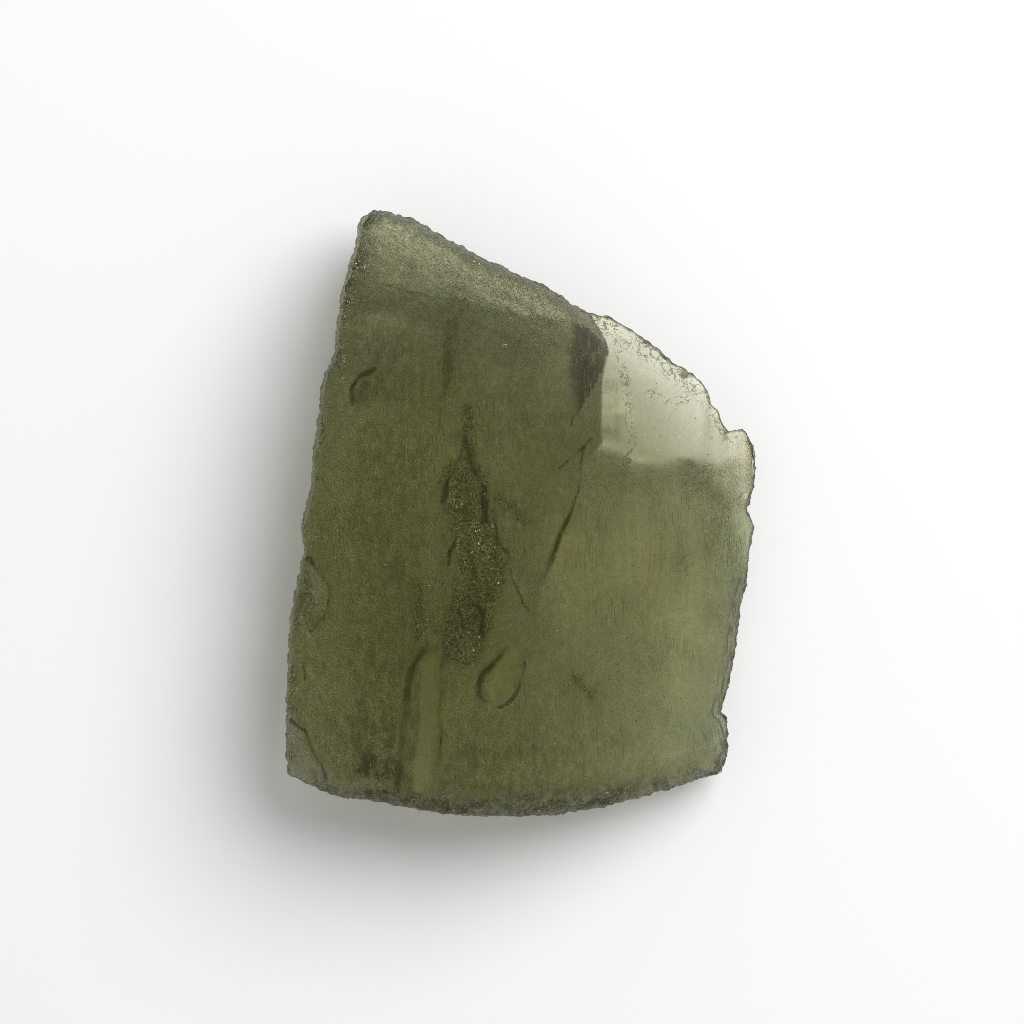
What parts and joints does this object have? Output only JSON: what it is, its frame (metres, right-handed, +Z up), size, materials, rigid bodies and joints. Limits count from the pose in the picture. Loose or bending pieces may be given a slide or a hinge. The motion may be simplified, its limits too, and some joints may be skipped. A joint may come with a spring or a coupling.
{
  "type": "moldavite",
  "caption": "Broken slab of natural bottle-green glass with an etched, furrowed front, a thin scalloped shoulder and a worn flat back to rest on.",
  "frame": {"origin": "under the middle of the stone, at the height of the surface it rests on", "axes": "+X across the stone to its thin side, +Y along its flow lines to its pointed tip, +Z up out of its etched front face"},
  "size_m": [0.0196, 0.0252, 0.0069],
  "materials": {
    "moldavite_glass": "see-through bottle-green natural glass, etched satin skin with glossy broken faces"
  },
  "bodies": {
    "root": {"moldavite": "moldavite_glass"}
  },
  "joints": []
}
